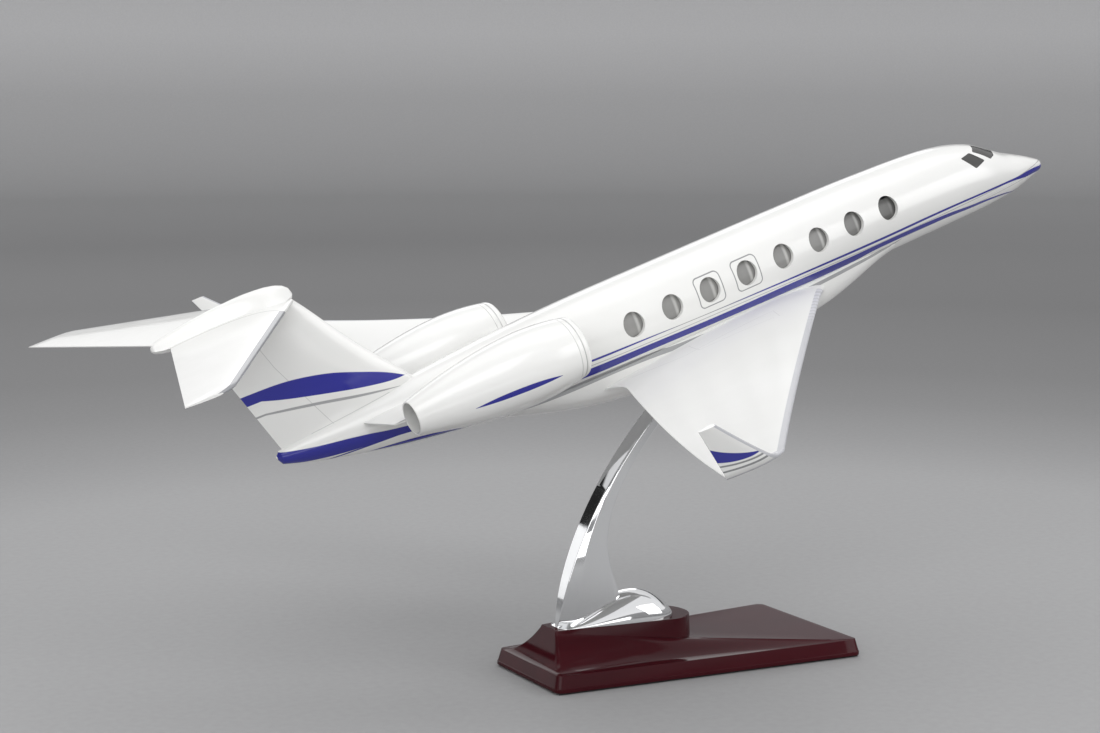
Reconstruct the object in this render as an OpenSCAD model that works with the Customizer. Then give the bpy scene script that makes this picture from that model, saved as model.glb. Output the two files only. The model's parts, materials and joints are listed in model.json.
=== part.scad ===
// Desk model of a twin-jet business aircraft on a curved chrome arm and a lacquered base.
// The aircraft is drawn nose-first along +X with its nose tip at x = 0, port side at +Y,
// and airframe() lifts and pitches it onto the stand. "Station" means distance aft of the nose.

/* [Pose] */
// Nose-up angle of the aircraft on its stand
pitch = 18.2; // [14:0.1:20]
// Height of the nose above the desk
nose_height = 230.6; // [225:0.1:240]
// Distance of the nose ahead of the base centre
nose_reach = 203.8; // [195:0.1:210]

/* [Fuselage] */
// Cabin radius
cabin_r = 20; // [19:0.5:21]
// Moulded wall thickness
wall = 1.8; // [1.4:0.1:2.2]
// Number of cabin windows on each side
window_count = 8; // [4:1:8]
// Station of the first window
first_window = 107; // [100:1:110]
// Distance between window centres
window_pitch = 20.4; // [18:0.1:20.6]
// Width of a window
window_w = 10.4; // [7:0.2:11]
// Height of a window
window_h = 11; // [8:0.2:13]

/* [Wing] */
// Half span at the foot of the winglet
half_span = 223.3; // [200:0.1:226]
// Greatest thickness at the wing root
root_thick = 6.6; // [5:0.1:8]
// Greatest thickness at the wing tip
tip_thick = 2; // [1.6:0.1:3]

/* [Engines] */
// Distance of each engine's axis from the centre line
engine_offset = 34.7; // [34:0.1:38]
// Height of each engine's axis above the fuselage axis
engine_height = 9.8; // [8:0.1:12]
// Largest nacelle radius
nacelle_r = 15.5; // [14:0.1:16]
// Radius of the exhaust nozzle
nozzle_r = 7.2; // [6.5:0.1:8]
// Blades in each fan
fan_blades = 18; // [12:1:24]

/* [Stand] */
// Length of the base
base_l = 152; // [140:1:160]
// Width of the base at its tail end
base_rear_w = 58; // [52:1:64]
// Width of the base at its nose end
base_front_w = 80; // [74:1:90]
// Height of the base's outer edge
edge_h = 8; // [7:0.5:9]
// Height of the pedestal that carries the arm
pedestal_h = 22; // [20:0.5:24]
// Width of the arm
arm_w = 14; // [12:0.5:15]

/* [Hidden] */
$fn = 48;
eps = 0.01;

// Fuselage outline: [station, crown height, keel height, half width]
outline = [
    [0, -11.5, -12.9, 0.6], [0.7, -10.2, -13.9, 1.6], [2, -9.2, -14.8, 2.7], [5, -7.5, -15.5, 4.3],
    [10, -4.8, -16.4, 6.6], [17, -1.5, -17.7, 9.5], [24.5, 2, -18.9, 12], [33, 7.2, -19.5, 14.3],
    [41, 11.6, -19.9, 16], [52, 15, -20, 17.6], [64, 17, -20, 18.7], [80, 18.2, -20, 19.5],
    [100, 19, -20, 19.9], [122, 19.6, -20, 20], [170, 19.9, -20, 20], [246, 20, -20, 20],
    [272, 19.8, -19.5, 19.7], [300, 18.9, -17.9, 18.8], [337, 16.6, -13.2, 15.4],
    [360, 14.6, -9.8, 11.8], [376, 13.1, -6.3, 9], [398, 10.9, -1, 5.2], [410, 9.4, 2.9, 2.8],
    [413.6, 8.4, 5.4, 1.3]];
tail_end = 413.6;
nose_rings = 16;
cabin_start = 122;
cabin_rings = 6;
cabin_end = 246;
tail_rings = 16;
ring_steps = 12;
stations = concat(
    [for (i = [0 : nose_rings]) cabin_start * pow(i / nose_rings, 1.7)],
    [for (i = [1 : cabin_rings]) cabin_start + (cabin_end - cabin_start) * i / cabin_rings],
    [for (i = [1 : tail_rings]) cabin_end + (tail_end - cabin_end) * i / tail_rings]);

// Wing planform; the span fraction t runs from 0 at root_y to 1 at half_span
root_y = 18;
wing_start = 12.6;
wing_sections = 14;
foil_steps = 9;
winglet_rise = 23.4;
winglet_lean = 11.2;
dowel_r = 1.25;
dowel_inner_y = 11;
dowel_outer_y = 32;
dowel_stations = [198, 228];

// Stand joint: the tongue on the arm goes up into the belly socket
socket_station = 213;
belly_depth = 31;
shoulder_gap = 0.25;
tongue = [3, 11, 9.5];
slot_clearance = 0.25;
socket = [20, 18, 10.8];
socket_screw_x = 6.5;
socket_screw_r = 1;
socket_screw_l = 7;

// Base details
felt_t = 1;
draft = 1.5;
pocket_h = 4;
ballast = [66, 38, 3];
ballast_x = 2;
screw_r = 1.5;
screw_head_r = 2.8;
screw_head_h = 2;
screw_x = [-51.5, -22.5];
screw_top = pedestal_h + 8;

// ---------------------------------------------------------------- helpers

function mix(a, b, t) = a + (b - a) * t;
function flat(lists) = [for (l = lists) each l];

function leg(a, i = 0) = (i >= len(outline) - 2 || a < outline[i + 1][0]) ? i : leg(a, i + 1);
function tangent(k, i) =
    let (lo = max(i - 1, 0), hi = min(i + 1, len(outline) - 1))
    (outline[hi][k] - outline[lo][k]) / (outline[hi][0] - outline[lo][0]);
// Smooth curve through column k of the outline at station a
function smooth(k, a) =
    let (i = leg(a), h = outline[i + 1][0] - outline[i][0], u = (a - outline[i][0]) / h)
    outline[i][k] * (1 + 2 * u) * pow(1 - u, 2) + outline[i + 1][k] * (3 - 2 * u) * u * u
    + h * u * (1 - u) * (tangent(k, i) * (1 - u) - tangent(k, i + 1) * u);

// Point on the fuselage skin, or on a skin inset by t; q is the angle from the crown
function skin(a, q, t = 0) =
    let (crown = smooth(1, a), keel = smooth(2, a), half = smooth(3, a),
         k = cabin_r / 20, mid = (crown + keel) / 2, h = (crown - keel) / 2)
    [-a, max(half * k - t, 0.05) * sin(q), k * mid + max(h * k - t, 0.05) * cos(q)];

// Twice a ring's area as a vector, and the ring's middle point
function sweep(ring, i = 1) =
    i >= len(ring) - 1 ? [0, 0, 0]
    : cross(ring[i] - ring[0], ring[i + 1] - ring[0]) + sweep(ring, i + 1);
function middle(ring, i = 0) =
    i >= len(ring) ? [0, 0, 0] : ring[i] / len(ring) + middle(ring, i + 1);

// Closed solid through a list of rings that all have the same number of points. With fan, each
// end is closed by triangles round its middle point, which suits rings with straight sides.
module loft(given, fan = false) {
    m = len(given);
    half = floor(m / 2);
    ahead = sweep(given[half]) * (middle(given[half]) - middle(given[half - 1])) > 0;
    n = len(given[0]);
    rings = [for (r = given) [for (j = [0 : n - 1]) ahead ? r[n - 1 - j] : r[j]]];
    side = [for (i = [0 : m - 2], j = [0 : n - 1])
        let (p = i * n + j, q = i * n + (j + 1) % n)
        each [[p, q, p + n], [q, q + n, p + n]]];
    far = (m - 1) * n;
    ends = fan
        ? [for (j = [0 : n - 1]) let (k = (j + 1) % n) each [[k, j, m * n], [far + j, far + k, m * n + 1]]]
        : [[for (j = [n - 1 : -1 : 0]) j], [for (j = [0 : n - 1]) far + j]];
    middles = fan ? [middle(rings[0]), middle(rings[m - 1])] : [];
    polyhedron(points = concat(flat(rings), middles), faces = concat(side, ends), convexity = 6);
}

// Aerofoil ring between a leading and a trailing edge point, thickened along direction n
function half_foil(x) =
    5 * (0.2969 * sqrt(x) - 0.126 * x - 0.3516 * x * x + 0.2843 * pow(x, 3) - 0.1015 * pow(x, 4));
function foil(le, te, thick, n) =
    let (xs = [for (i = [0 : foil_steps]) (1 - cos(180 * i / foil_steps)) / 2],
         edge = 0.16)
    concat(
        [for (i = [foil_steps : -1 : 0])
            mix(le, te, xs[i]) + n * (thick * half_foil(xs[i]) + edge)],
        [for (i = [0 : foil_steps])
            mix(le, te, xs[i]) - n * (thick * half_foil(xs[i]) + edge)]);

module airframe() {
    translate([nose_reach, 0, nose_height]) rotate([0, -pitch, 0]) children();
}
// Place a point of the aircraft, given by station and height, in the stand's frame
function placed(a, z) = [
    nose_reach - a * cos(pitch) - z * sin(pitch),
    nose_height - a * sin(pitch) + z * cos(pitch)];

module both_sides(side) { mirror([0, side < 0 ? 1 : 0, 0]) children(); }

// ---------------------------------------------------------------- stand

// Trapezoid outline with rounded corners, always with the same number of points
corner_steps = 4;
side_steps = 10;
function corner(x, y, r, from) =
    [for (i = [0 : corner_steps])
        let (q = from + 90 * i / corner_steps) [x + r * cos(q), y + r * sin(q)]];
function between(a, b, n) = [for (i = [1 : n - 1]) mix(a, b, i / n)];
function trapezoid(x0, x1, w0, w1, r0, r1) =
    let (a = corner(x1 - r1, w1 - r1, r1, 0), b = corner(x0 + r0, w0 - r0, r0, 90),
         c = corner(x0 + r0, r0 - w0, r0, 180), d = corner(x1 - r1, r1 - w1, r1, 270),
         e = corner_steps)
    concat(a, between(a[e], b[0], side_steps), b, between(b[e], c[0], side_steps),
           c, between(c[e], d[0], side_steps), d, between(d[e], a[0], side_steps));

pedestal = [-65.5, 4.5, 7, 13.4, 1, 12.6];
// The base reaches a little further aft of the origin than ahead of it
base_aft = base_l / 2 + 1;
base_ahead = base_l / 2 - 1;
rim = [draft - base_aft, base_ahead - draft,
       base_rear_w / 2 - draft, base_front_w / 2 - draft, 3, 3];
foot = [-base_aft, base_ahead, base_rear_w / 2, base_front_w / 2, 3.5, 3.5];
function outline_of(s) = trapezoid(s[0], s[1], s[2], s[3], s[4], s[5]);
// Height of the pedestal wall's foot, which falls towards the nose end
function wall_foot(x) = mix(pedestal_h - 1, edge_h + 4, (x - pedestal[0]) / (pedestal[1] - pedestal[0]));
// The flares are hollow at the sides and tail and flat ahead of the pedestal
function hollow(p) = p[0] > 66 ? 1 : mix(2, 1.15, max(p[0] + 20, 0) / 90);

module base_body() {
    flare_steps = 8;
    low = outline_of(pedestal + [-0.3, 0.3, 0.3, 0.3, 0, 0]);
    edge = outline_of(rim);
    flares = [for (k = [0 : flare_steps]) let (u = k / flare_steps)
        [for (j = [0 : len(edge) - 1])
            let (p = mix(low[j], edge[j], u))
            [p[0], p[1], edge_h + (wall_foot(low[j][0]) - edge_h) * pow(1 - u, hollow(edge[j]))]]];
    top = [for (p = outline_of(pedestal)) [p[0], p[1], pedestal_h]];
    under = [for (p = outline_of(foot)) [p[0], p[1], felt_t]];
    loft(concat([top], flares, [under]), fan = true);
}

module pocket(inset, z, h) {
    translate([0, 0, z]) linear_extrude(h)
        polygon([[inset - base_aft, inset - base_rear_w / 2],
                 [base_ahead - inset, inset - base_front_w / 2],
                 [base_ahead - inset, base_front_w / 2 - inset],
                 [inset - base_aft, base_rear_w / 2 - inset]]);
}

module base_shell() {
    color("#3a1418") difference() {
        base_body();
        pocket(5, felt_t - eps, pocket_h + eps);
        for (x = screw_x) translate([x, 0, 0]) cylinder(r = screw_r, h = pedestal_h + 1);
    }
}

module ballast_plate() {
    color("dimgray") translate([ballast_x, -ballast[1] / 2, felt_t + pocket_h - ballast[2]]) cube(ballast);
}

module base_felt() { color("#202020") pocket(1.5, 0, felt_t); }

// Teardrop cover: rounded at the nose end, narrow and low at the tail end
dome_tail = -62.5;
dome_l = 59;
dome_tail_w = 6.6;
dome_half_w = 11.4;
dome_rise = 13;
dome_shoulder = 0.72;
function dome_width(t) =
    let (nose = max(t - dome_shoulder, 0) / (1 - dome_shoulder), tail = max(1 - t / 0.05, 0))
    mix(dome_tail_w, dome_half_w, pow(sin(90 * min(t / dome_shoulder, 1)), 1.4))
    * pow(1 - pow(nose, 2.3), 0.45) * sqrt(1 - tail * tail);
module dome_body() {
    rings = 20;
    loft([for (i = [0 : rings])
        let (t = mix(0.008, 0.995, (1 - cos(180 * i / rings)) / 2), w = dome_width(t),
             h = dome_rise * pow(sin(180 * pow(t, 1.6)), 0.75))
        [for (q = [0 : 15 : 180])
            [dome_tail + dome_l * t, w * cos(q), pedestal_h + h * sin(q)]]]);
}

// Arm: wedge-shaped at the foot, closing to a flat band towards the belly
function bezier(p, t) =
    p[0] * pow(1 - t, 3) + 3 * p[1] * t * pow(1 - t, 2) + 3 * p[2] * t * t * (1 - t) + p[3] * pow(t, 3);
shoulder_z = -belly_depth - shoulder_gap;
back_curve = [[-61.8, pedestal_h], [-58.8, 46], [-43.9, 92], placed(socket_station + 3.4, shoulder_z)];
front_curve = [[-31.5, pedestal_h], [-24.7, 44.9], [-71, 57.6], placed(socket_station - 2.6, shoulder_z)];
module arm_body() {
    rings = 26;
    loft([for (i = [0 : rings])
        let (t = i / rings, b = bezier(back_curve, t), f = bezier(front_curve, t),
             w = arm_w * bezier([0.29, 0.51, 0.27, 0.44], t), chin = 0.6 + pow(1 - t, 3),
             lip = 0.5 + 2.4 * pow(1 - t, 2), bevel = 0.04 + 0.34 * pow(1 - t, 2))
        [for (p = [[0, w - lip], [bevel, w], [0.9, w], [1, w - chin],
                   [1, chin - w], [0.9, -w], [bevel, -w], [0, lip - w]])
            let (c = mix(b, f, p[0])) [c[0], p[1], c[1]]]]);
}

module foot_dome() {
    color("silver") difference() {
        dome_body();
        arm_body();
        for (x = screw_x) translate([x, 0, 0]) cylinder(r = screw_r, h = screw_top);
    }
}

module support_arm() {
    color("silver") difference() {
        union() {
            arm_body();
            airframe() translate([-socket_station, 0, shoulder_z + (tongue[2] - 1) / 2])
                cube([tongue[0], tongue[1], tongue[2] + 1], center = true);
        }
        translate([screw_x[0], 0, 0]) cylinder(r = screw_r, h = screw_top);
    }
}

module arm_screws() {
    color("gray") for (x = screw_x) translate([x, 0, 0]) {
        translate([0, 0, felt_t + pocket_h - screw_head_h]) cylinder(r = screw_head_r, h = screw_head_h);
        translate([0, 0, felt_t + pocket_h - eps])
            cylinder(r = screw_r, h = screw_top - felt_t - pocket_h + eps);
    }
}

// ---------------------------------------------------------------- fuselage

// Closed solid in the shape of the fuselage, drawn in all round by inset
module tube(inset) {
    keep = [for (a = stations) if (smooth(3, a) > inset + 0.5) a];
    loft([for (a = keep) [for (j = [0 : 2 * ring_steps - 1]) skin(a, 180 * j / ring_steps, inset)]]);
}

// The row of oval windows comes down a little towards the tail
window_z = 4.4;
window_fall = 0.2;
module window_row() {
    for (i = [0 : window_count - 1])
        translate([-first_window - window_pitch * i, -cabin_r * 2, window_z - window_fall * i])
            rotate([-90, 0, 0]) linear_extrude(cabin_r * 4)
                polygon([for (q = [0 : 18 : 342]) [window_w / 2 * cos(q), window_h / 2 * sin(q)]]);
}

// Cockpit panes, cut across for the side panes and down for the windscreen
side_pane = [[-56.2, 10.1], [-48.9, 10.4], [-43, 4.8], [-50.8, 3.5]];
front_pane = [[-40.5, 1.2], [-43.9, 7.6], [-46.6, 10.4], [-38.8, 12.9], [-34.3, 10.1], [-28.8, 1.2]];
module cockpit_panes() {
    translate([0, cabin_r * 2, 0]) rotate([90, 0, 0]) linear_extrude(cabin_r * 4) polygon(side_pane);
    for (s = [1, -1])
        linear_extrude(cabin_r) polygon([for (p = front_pane) [p[0], s * p[1]]]);
}

module fuselage_half(side) {
    difference() {
        tube(0);
        tube(wall);
        window_row();
        cockpit_panes();
        translate([-tail_end - 1, side > 0 ? -2 * cabin_r : 0, -2 * cabin_r])
            cube([tail_end + 2, 2 * cabin_r, 4 * cabin_r]);
    }
}

module fuselage_left_half() { color("white") airframe() fuselage_half(1); }
module fuselage_right_half() { color("white") airframe() fuselage_half(-1); }

// Tinted strip just inside the wall, along a run of stations and over a range of angles
glazing_t = 1;
glazing_gap = 0.4;
module lining(run, q0, q1) {
    arc = [for (q = [q0 : 180 / ring_steps : q1]) q];
    loft([for (a = run) concat(
        [for (q = arc) skin(a, q, wall + glazing_gap)],
        [for (i = [len(arc) - 1 : -1 : 0]) skin(a, arc[i], wall + glazing_gap + glazing_t)])]);
}
cabin_run = [98, 110, 122, 184, 246, 259];
cockpit_run = [25, 33, 41, 52, 66];
module cabin_glazing_left() { color("dimgray") airframe() lining(cabin_run, 60, 105); }
module cabin_glazing_right() { color("dimgray") airframe() lining(cabin_run, 255, 300); }
module cockpit_glazing() { color("dimgray") airframe() lining(cockpit_run, -75, 75); }

// ---------------------------------------------------------------- belly

// The fairing grows out of the keel, runs level under the wing and dies away behind it
fairing_from = 104;
fairing_to = 314;
fairing_rise = 56;
fairing_fall = 74;
fairing_half_angle = 45;
fairing_half_w = 15;
fairing_round = 0.7;
// How far the fairing has swelled at station a, from 0 to 1
function swell(a) =
    let (u = min((a - fairing_from) / fairing_rise, (fairing_to - a) / fairing_fall, 1))
    pow(sin(90 * max(u, 0)), 1.3);
module fairing_body() {
    run = [for (a = stations) if (a > fairing_from && a < fairing_to) a];
    steps = 10;
    film = 0.3;
    loft([for (a = run) let (g = mix(0.03, 1, swell(a)), edge = skin(a, 180 - fairing_half_angle))
        concat(
            [for (q = [180 - fairing_half_angle : 180 / ring_steps : 180 + fairing_half_angle])
                skin(a, q)],
            [for (k = [steps - 1 : -1 : 1])
                let (b = 180 * k / steps,
                     base = skin(a, 180 - fairing_half_angle * cos(b)),
                     full_y = fairing_half_w * sign(cos(b)) * pow(abs(cos(b)), fairing_round),
                     full_z = edge[2] - (edge[2] + belly_depth) * pow(sin(b), fairing_round))
                [-a, mix(base[1], full_y, g), mix(base[2] - film, full_z, g)]])]);
}

module belly_fairing() {
    color("white") airframe() difference() {
        fairing_body();
        translate([-socket_station - socket[0] / 2, -socket[1] / 2, -2 * belly_depth])
            cube([socket[0], socket[1], 1.5 * belly_depth]);
        dowels();
    }
}

module socket_screw_holes(h) {
    for (x = [-1, 1]) translate([-socket_station + x * socket_screw_x, 0, -belly_depth])
        cylinder(r = socket_screw_r, h = h);
}

module belly_socket() {
    color("white") airframe() difference() {
        translate([-socket_station - socket[0] / 2, -socket[1] / 2, -belly_depth]) cube(socket);
        translate([-socket_station, 0, -belly_depth])
            cube([tongue[0] + 2 * slot_clearance, tongue[1] + 2 * slot_clearance,
                  2 * (tongue[2] - shoulder_gap + 0.5)], center = true);
        socket_screw_holes(socket_screw_l);
    }
}

module socket_screws() { color("gray") airframe() socket_screw_holes(socket_screw_l); }

// Short pins that locate each wing root on the belly fairing
module dowels() {
    for (a = dowel_stations, side = [1, -1]) both_sides(side)
        translate([-a, dowel_inner_y, wing_height(0) + 0.3]) rotate([-90, 0, 0])
            cylinder(r = dowel_r, h = dowel_outer_y - dowel_inner_y);
}
module wing_dowels() { color("gray") airframe() dowels(); }

// ---------------------------------------------------------------- wings and tail

// Height and edges of the wing at span fraction t
function wing_fraction(y) = (y - root_y) / (half_span - root_y);
function wing_height(t) = -19 + 7.3 * t + 18 * t * t;
function wing_le(t) = 152.3 + 165.6 * t + 16.6 * t * (1 - t);
function wing_te(t) = 261.9 + 80 * t;
function wing_ring(y) =
    let (t = wing_fraction(y), z = wing_height(t))
    foil([-wing_le(t), y, z], [-wing_te(t), y, z - 0.8 * (1 - t)], mix(root_thick, tip_thick, t),
         [0, 0, 1]);

module wing(side) {
    airframe() difference() {
        both_sides(side) loft([for (i = [0 : wing_sections])
            wing_ring(mix(wing_start, half_span, i / wing_sections))]);
        dowels();
    }
}
module wing_left() { color("white") wing(1); }
module wing_right() { color("white") wing(-1); }

// The winglet turns up from the wing tip in a short bend and leans outwards
winglet_top = [347.3, 353.8];
winglet_turn = 65;
// Share of the lean and of the rise that is reached at fraction u up the winglet
function lean_at(u) = u < 0.25 ? u * 1.6 : mix(0.4, 1, (u - 0.25) / 0.75);
function rise_at(u) = u < 0.25 ? 2.2 * u * u : mix(0.1375, 1, (u - 0.25) / 0.75);
module winglet(side) {
    steps = 10;
    airframe() both_sides(side) loft([for (i = [0 : steps])
        let (u = i / steps, turn = winglet_turn * min(u * 3.5, 1),
             y = half_span + winglet_lean * lean_at(u), z = wing_height(1) + winglet_rise * rise_at(u))
        foil([-mix(wing_le(1), winglet_top[0], pow(u, 0.9)), y, z],
             [-mix(wing_te(1), winglet_top[1], u), y, z],
             mix(tip_thick, 1, u), [0, -sin(turn), cos(turn)])]);
}
module winglet_left() { color("white") winglet(1); }
module winglet_right() { color("white") winglet(-1); }

// Leading edge, trailing edge, height and thickness of the fin at its root and its top
fin_root = [340, 409.8, 8.4, 6.4];
fin_top = [386.6, 430.8, 66, 4.4];
module vertical_fin() {
    steps = 8;
    color("white") airframe() loft([for (i = [0 : steps]) let (s = mix(fin_root, fin_top, i / steps))
        foil([-s[0], 0, s[2]], [-s[1], 0, s[2]], s[3], [0, 1, 0])]);
}

// Bullet where the fin meets the tailplane
bullet_nose = 385.2;
bullet_l = 63.4;
bullet_half_w = 3.9;
bullet_half_h = 5.4;
bullet_z = 68.2;
module bullet_fairing() {
    steps = 16;
    color("white") airframe() loft([for (i = [0 : steps])
        let (t = mix(0.006, 0.994, (1 - cos(180 * i / steps)) / 2),
             full = pow(sin(180 * pow(t, 0.62)), 0.55),
             mid = bullet_z + 1.4 * sin(180 * t) - 1.6 * t)
        [for (q = [0 : 22.5 : 337.5])
            [-bullet_nose - bullet_l * t, bullet_half_w * full * cos(q),
             mid + bullet_half_h * full * sin(q)]]]);
}

// Leading edge point, trailing edge point and thickness of the tailplane at its root and its tip
stab_root = [[-386.5, 2.6, 65.2], [-440.6, 2.6, 66.2], 4.4];
stab_tip = [[-451.5, 97.4, 66], [-470, 97.4, 66.3], 1.6];
module stabilizer(side) {
    steps = 8;
    airframe() both_sides(side) loft([for (i = [0 : steps]) let (u = i / steps)
        foil(mix(stab_root[0], stab_tip[0], u), mix(stab_root[1], stab_tip[1], u),
             mix(stab_root[2], stab_tip[2], u), [0, 0, 1])]);
}
module stabilizer_left() { color("white") stabilizer(1); }
module stabilizer_right() { color("white") stabilizer(-1); }

// ---------------------------------------------------------------- engines

lip_front = 287.4;
lip_joint = 290.2;
nozzle_end = 366.2;
intake_r = 10.6;
fan_back = lip_joint + 9;
nozzle_joint = 352.5;
nozzle_lip = 0.7;
lip_r = 12.6;
widest = 312;
// Outer radius of the nacelle at station a
function nacelle_radius(a) =
    a < widest ? mix(lip_r, nacelle_r, sin(90 * pow((a - lip_front) / (widest - lip_front), 0.8)))
               : mix(nacelle_r, nozzle_r, pow((a - widest) / (nozzle_end - widest), 1.75));
nacelle_steps = 14;
function nacelle_curve(from, to) =
    [for (i = [0 : nacelle_steps]) let (a = mix(from, to, i / nacelle_steps)) [nacelle_radius(a), a]];

module engine(side) {
    airframe() translate([0, side * engine_offset, engine_height]) rotate([0, -90, 0]) children();
}
module nacelle(side) {
    engine(side) rotate_extrude() polygon(concat(
        nacelle_curve(lip_joint, nozzle_joint),
        [[0, nozzle_joint], [0, fan_back], [intake_r, fan_back], [intake_r, lip_joint]]));
}
module nacelle_left() { color("white") nacelle(1); }
module nacelle_right() { color("white") nacelle(-1); }

module nozzle(side) {
    engine(side) rotate_extrude() polygon(concat(
        nacelle_curve(nozzle_joint, nozzle_end),
        [[nozzle_r - nozzle_lip, nozzle_end], [nozzle_r + nozzle_lip, nozzle_joint]]));
}
module nozzle_left() { color("white") nozzle(1); }
module nozzle_right() { color("white") nozzle(-1); }

module intake_lip(side) {
    nose = (nacelle_radius(lip_joint) + intake_r) / 2;
    half = (nacelle_radius(lip_joint) - intake_r) / 2;
    engine(side) rotate_extrude() polygon(
        [for (q = [0 : 15 : 180]) [nose + half * cos(q), lip_joint - (lip_joint - lip_front) * sin(q)]]);
}
module intake_lip_left() { color("whitesmoke") intake_lip(1); }
module intake_lip_right() { color("whitesmoke") intake_lip(-1); }

// Fan: a back plate, a hub with a round spinner, and blades set at an angle
hub_r = 3.4;
hub_l = 4;
blade = [intake_r - hub_r - 0.1, 0.6, 2.6];
blade_angle = 38;
module fan(side) {
    engine(side) translate([0, 0, fan_back]) {
        translate([0, 0, -1]) cylinder(r = intake_r, h = 1);
        translate([0, 0, -hub_l]) cylinder(r = hub_r, h = hub_l - 1 + eps);
        rotate_extrude() polygon(concat([[0, eps - hub_l]],
            [for (q = [0 : 15 : 90]) [hub_r * cos(q), -hub_l * (1 + sin(q))]]));
        for (i = [0 : fan_blades - 1]) rotate([0, 0, 360 * i / fan_blades])
            translate([hub_r - 0.5, 0, -2.4]) rotate([blade_angle, 0, 0])
                translate([0, -blade[1] / 2, -1.2]) cube(blade);
    }
}
module fan_left() { color("gray") fan(1); }
module fan_right() { color("gray") fan(-1); }

// Stub pylon from the fuselage side to the nacelle: edge points of its inner and outer ends
pylon_inner = [[-300, 9, 7.4], [-376.5, 9, 8.2]];
pylon_outer = [[-308, engine_offset - 4, 7.4], [-371.5, engine_offset - 4, 8.2]];
pylon_thick = 4.6;
module pylon(side) {
    airframe() both_sides(side) loft([for (u = [0 : 1 / 3 : 1])
        foil(mix(pylon_inner[0], pylon_outer[0], u), mix(pylon_inner[1], pylon_outer[1], u),
             pylon_thick, [0, 0, 1])]);
}
module cut_pylon(side) {
    difference() {
        pylon(side);
        engine(side) rotate_extrude() polygon(concat([[0, lip_joint]],
            nacelle_curve(lip_joint, nozzle_joint), nacelle_curve(nozzle_joint, nozzle_end),
            [[nozzle_r, nozzle_end + 14], [0, nozzle_end + 14]]));
    }
}
module pylon_left() { color("white") cut_pylon(1); }
module pylon_right() { color("white") cut_pylon(-1); }

base_shell();
ballast_plate();
base_felt();
foot_dome();
support_arm();
arm_screws();
fuselage_left_half();
fuselage_right_half();
cabin_glazing_left();
cabin_glazing_right();
cockpit_glazing();
belly_fairing();
belly_socket();
socket_screws();
wing_dowels();
wing_left();
wing_right();
winglet_left();
winglet_right();
vertical_fin();
bullet_fairing();
stabilizer_left();
stabilizer_right();
pylon_left();
pylon_right();
nacelle_left();
nacelle_right();
nozzle_left();
nozzle_right();
intake_lip_left();
intake_lip_right();
fan_left();
fan_right();
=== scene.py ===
import json
import math

import bmesh
import bpy
import numpy as np
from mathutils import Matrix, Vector


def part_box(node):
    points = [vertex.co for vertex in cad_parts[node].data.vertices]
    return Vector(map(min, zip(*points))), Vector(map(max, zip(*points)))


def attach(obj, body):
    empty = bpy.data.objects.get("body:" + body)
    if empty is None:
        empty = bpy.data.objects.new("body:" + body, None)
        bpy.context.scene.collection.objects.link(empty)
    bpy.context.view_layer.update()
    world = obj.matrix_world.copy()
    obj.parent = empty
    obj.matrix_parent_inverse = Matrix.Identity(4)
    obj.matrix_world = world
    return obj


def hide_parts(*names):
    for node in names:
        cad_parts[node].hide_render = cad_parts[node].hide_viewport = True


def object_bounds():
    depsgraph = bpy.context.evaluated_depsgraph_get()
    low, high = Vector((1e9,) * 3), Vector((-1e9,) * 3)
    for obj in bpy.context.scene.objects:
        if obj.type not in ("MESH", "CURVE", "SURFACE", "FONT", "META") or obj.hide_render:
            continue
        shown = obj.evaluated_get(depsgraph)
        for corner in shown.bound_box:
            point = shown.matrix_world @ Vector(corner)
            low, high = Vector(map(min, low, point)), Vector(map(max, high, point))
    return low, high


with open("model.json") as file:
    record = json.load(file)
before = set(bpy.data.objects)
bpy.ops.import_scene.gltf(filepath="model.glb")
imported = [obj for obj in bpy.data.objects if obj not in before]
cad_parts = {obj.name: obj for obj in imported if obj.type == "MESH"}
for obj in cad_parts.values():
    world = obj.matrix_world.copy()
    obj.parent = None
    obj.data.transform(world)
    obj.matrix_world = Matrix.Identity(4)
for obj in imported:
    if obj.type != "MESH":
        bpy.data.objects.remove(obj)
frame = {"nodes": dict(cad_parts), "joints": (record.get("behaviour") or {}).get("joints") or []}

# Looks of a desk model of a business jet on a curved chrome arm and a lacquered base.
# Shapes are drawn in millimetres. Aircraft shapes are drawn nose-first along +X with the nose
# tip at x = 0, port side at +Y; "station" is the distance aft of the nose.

MM = 0.001
CAD_BOX = [list(corner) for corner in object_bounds()]

# ---- the frame


def node_points(*names):
    """Every vertex of these CAD nodes, in millimetres."""
    return np.array([v.co for n in names for v in frame["nodes"][n].data.vertices]) / MM


def box_mm(name):
    """Lowest and highest corner of a CAD node, in millimetres."""
    return [np.array(corner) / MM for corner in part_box(name)]


# The aircraft slides up along its own upright axis, so the joint gives its pitch
SLIDE = frame["joints"][0]["axis"]
PITCH = math.asin(-SLIDE[0])
AHEAD = np.array((math.cos(PITCH), 0, math.sin(PITCH)))
PORT = np.array((0, 1, 0))
UP = np.array((-math.sin(PITCH), 0, math.cos(PITCH)))
COWL = node_points("nacelle_left")
LIP_JOINT = 290.2
ENGINE_Y = (COWL[:, 1].min() + COWL[:, 1].max()) / 2
ENGINE_Z = 9.8
NOSE = (AHEAD * ((COWL @ AHEAD).max() + LIP_JOINT)
        + UP * (((COWL @ UP).min() + (COWL @ UP).max()) / 2 - ENGINE_Z))
HALF_SPAN = (node_points("wing_left") @ PORT).max()
PEDESTAL_H = box_mm("base_shell")[1][2]


def aloft(points):
    """Points of the aircraft, taken to the row frame."""
    points = np.asarray(points, float)
    return NOSE + points[:, :1] * AHEAD + points[:, 1:2] * PORT + points[:, 2:] * UP


def mix(a, b, t):
    return a + (b - a) * t


# ---- mesh building


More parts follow.
